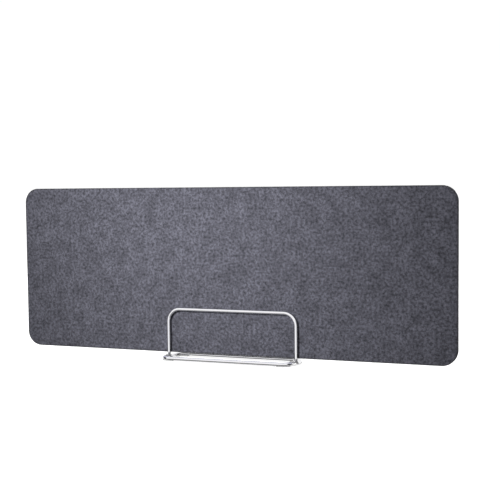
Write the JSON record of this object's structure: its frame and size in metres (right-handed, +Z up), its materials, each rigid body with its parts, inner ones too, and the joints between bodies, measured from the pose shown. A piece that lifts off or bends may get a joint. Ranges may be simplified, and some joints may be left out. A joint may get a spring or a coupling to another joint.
{
  "type": "desk privacy panel",
  "caption": "Wide felt desk screen with rounded corners, standing upright between two bent chrome wire loops on a low wire base with rubber shoes.",
  "frame": {"origin": "on the desk, below the middle of the board", "axes": "+Z up, +X along the board to the right as seen from its front, and the board's front faces -Y"},
  "size_m": [1.1, 0.0846, 0.4159],
  "materials": {
    "felt": "matt pressed felt, charcoal with a lighter fleck",
    "core": "stiff pressed fibre board, hidden",
    "chrome": "bright chrome plate on steel rod",
    "rubber": "satin translucent moulded rubber, pale grey"
  },
  "bodies": {
    "stand": {"front_loop": "chrome", "rear_loop": "chrome", "front_left_shoe": "rubber", "front_right_shoe": "rubber", "rear_left_shoe": "rubber", "rear_right_shoe": "rubber"},
    "board": {"front_felt": "felt", "rear_felt": "felt", "edge_band": "felt", "core_board": "core"}
  },
  "joints": [
    {"name": "board_lift", "type": "slide", "parent": "stand", "child": "board", "axis": [0, 0, 1], "range_m": [0, 0.115]}
  ]
}
